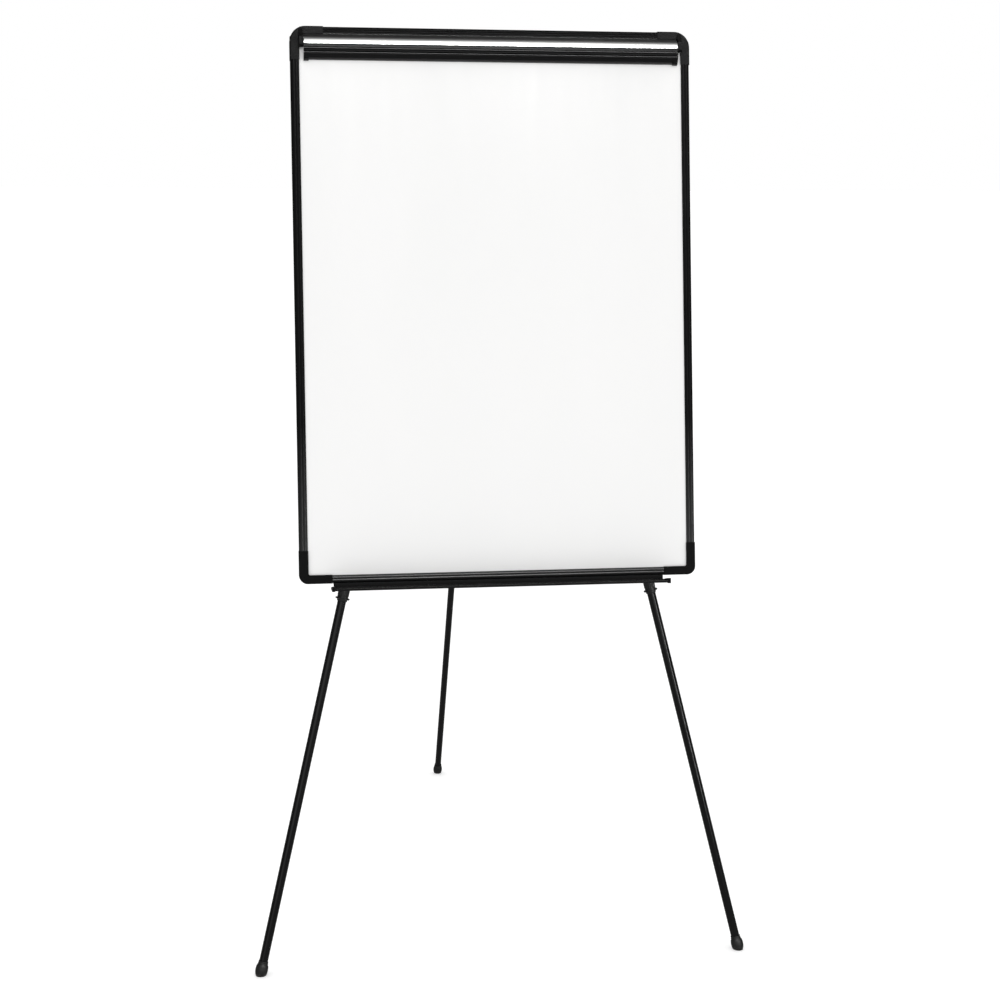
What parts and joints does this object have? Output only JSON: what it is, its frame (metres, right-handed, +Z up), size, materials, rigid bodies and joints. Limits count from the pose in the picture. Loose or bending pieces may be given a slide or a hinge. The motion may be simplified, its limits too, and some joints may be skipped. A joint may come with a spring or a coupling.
{
  "type": "flipchart easel",
  "caption": "Tripod flipchart easel: black-framed white dry-erase board with a spring paper clamp, pen tray and folding telescopic legs on rubber feet.",
  "frame": {"origin": "on the floor, in the middle of the footprint of the three feet, under the board's centre plane", "axes": "+Z up, the board faces -Y, +X is to the right of a person facing the board"},
  "size_m": [0.9266, 1.071, 1.712],
  "materials": {
    "dry_erase_white": "glossy white dry-erase coating on thin sheet",
    "fibreboard": "brown hardboard",
    "back_sheet_grey": "matt grey backing sheet",
    "black_rail": "satin black anodised extrusion",
    "corner_plastic": "black moulding with a light grain",
    "bright_bar": "brushed lengthwise, clear anodised",
    "ribbed_black": "glossy black extruded strip",
    "soft_pad": "matt black soft strip",
    "spring_steel": "oiled spring wire",
    "zinc_steel": "bright zinc-plated screws and pins",
    "black_screw": "black oxide",
    "tray_black": "semi-gloss black powder coat on aluminium",
    "bracket_plastic": "black glass-filled nylon",
    "tube_black": "gloss black enamel on steel tube",
    "lock_plastic": "black moulding",
    "foot_rubber": "black rubber"
  },
  "bodies": {
    "board": {"whiteboard_face": "dry_erase_white", "board_core": "fibreboard", "back_sheet": "back_sheet_grey", "frame_rail_left": "black_rail", "frame_rail_right": "black_rail", "frame_rail_top": "black_rail", "frame_rail_bottom": "black_rail", "corner_cap_top_left": "corner_plastic", "corner_cap_top_right": "corner_plastic", "corner_cap_bottom_left": "corner_plastic", "corner_cap_bottom_right": "corner_plastic", "corner_screws": "zinc_steel", "pen_tray": "tray_black", "tray_end_left": "corner_plastic", "tray_end_right": "corner_plastic", "tray_screws": "zinc_steel", "head_bracket": "bracket_plastic", "head_bracket_screws": "zinc_steel", "left_leg_pin": "zinc_steel", "right_leg_pin": "zinc_steel", "rear_leg_pin": "zinc_steel", "leg_guide_left": "bracket_plastic", "leg_guide_right": "bracket_plastic", "leg_guide_screws": "zinc_steel"},
    "clamp": {"clamp_bar": "bright_bar", "clamp_grip": "ribbed_black", "clamp_pad": "soft_pad", "clamp_end_left": "ribbed_black", "clamp_end_right": "ribbed_black", "clamp_screws": "black_screw", "clamp_pivot_pins": "zinc_steel", "clamp_spring_left": "spring_steel", "clamp_spring_right": "spring_steel"},
    "left_upper_leg": {"left_leg_upper_tube": "tube_black", "left_leg_hinge_eye": "bracket_plastic", "left_leg_lock_bush": "bracket_plastic"},
    "left_lock": {"left_leg_lock_ring": "lock_plastic"},
    "left_lower_leg": {"left_leg_lower_tube": "tube_black", "left_leg_guide_plug": "bracket_plastic", "left_leg_foot": "foot_rubber"},
    "right_upper_leg": {"right_leg_upper_tube": "tube_black", "right_leg_hinge_eye": "bracket_plastic", "right_leg_lock_bush": "bracket_plastic"},
    "right_lock": {"right_leg_lock_ring": "lock_plastic"},
    "right_lower_leg": {"right_leg_lower_tube": "tube_black", "right_leg_guide_plug": "bracket_plastic", "right_leg_foot": "foot_rubber"},
    "rear_upper_leg": {"rear_leg_upper_tube": "tube_black", "rear_leg_hinge_eye": "bracket_plastic", "rear_leg_lock_bush": "bracket_plastic"},
    "rear_lock": {"rear_leg_lock_ring": "lock_plastic"},
    "rear_lower_leg": {"rear_leg_lower_tube": "tube_black", "rear_leg_guide_plug": "bracket_plastic", "rear_leg_foot": "foot_rubber"}
  },
  "joints": [
    {"name": "clamp_open", "type": "hinge", "parent": "board", "child": "clamp", "pos_m": [0, -0.26602, 1.69014], "axis": [-1, 0, 0], "range_deg": [0, 30], "stiffness_Nm_per_rad": 0.6, "springref_deg": -34.38, "deforming": ["clamp_spring_left", "clamp_spring_right"]},
    {"name": "left_leg_fold", "type": "hinge", "parent": "board", "child": "left_upper_leg", "pos_m": [-0.0617, -0.23823, 1.63701], "axis": [0, -0.9848, 0.1736], "range_deg": [0, 13.27]},
    {"name": "right_leg_fold", "type": "hinge", "parent": "board", "child": "right_upper_leg", "pos_m": [0.0617, -0.23823, 1.63701], "axis": [0, 0.9848, -0.1736], "range_deg": [0, 13.27]},
    {"name": "rear_leg_fold", "type": "hinge", "parent": "board", "child": "rear_upper_leg", "pos_m": [0, -0.23823, 1.63701], "axis": [-1, 0, 0], "range_deg": [0, 35.04]},
    {"name": "left_leg_height", "type": "slide", "parent": "left_upper_leg", "child": "left_lower_leg", "axis": [-0.2296, -0.169, -0.9585], "range_m": [-0.67, 0.17]},
    {"name": "right_leg_height", "type": "slide", "parent": "right_upper_leg", "child": "right_lower_leg", "axis": [0.2296, -0.169, -0.9585], "range_m": [-0.67, 0.17]},
    {"name": "rear_leg_height", "type": "slide", "parent": "rear_upper_leg", "child": "rear_lower_leg", "axis": [0, 0.4232, -0.906], "range_m": [-0.77, 0.07]},
    {"name": "left_lock_turn", "type": "hinge", "parent": "left_upper_leg", "child": "left_lock", "pos_m": [-0.28784, -0.4047, 0.69288], "axis": [-0.2296, -0.169, -0.9585], "range_deg": [0, 90]},
    {"name": "right_lock_turn", "type": "hinge", "parent": "right_upper_leg", "child": "right_lock", "pos_m": [0.28784, -0.4047, 0.69288], "axis": [0.2296, -0.169, -0.9585], "range_deg": [0, 90]},
    {"name": "rear_lock_turn", "type": "hinge", "parent": "rear_upper_leg", "child": "rear_lock", "pos_m": [0, 0.17867, 0.74458], "axis": [0, 0.4232, -0.906], "range_deg": [0, 90]}
  ]
}
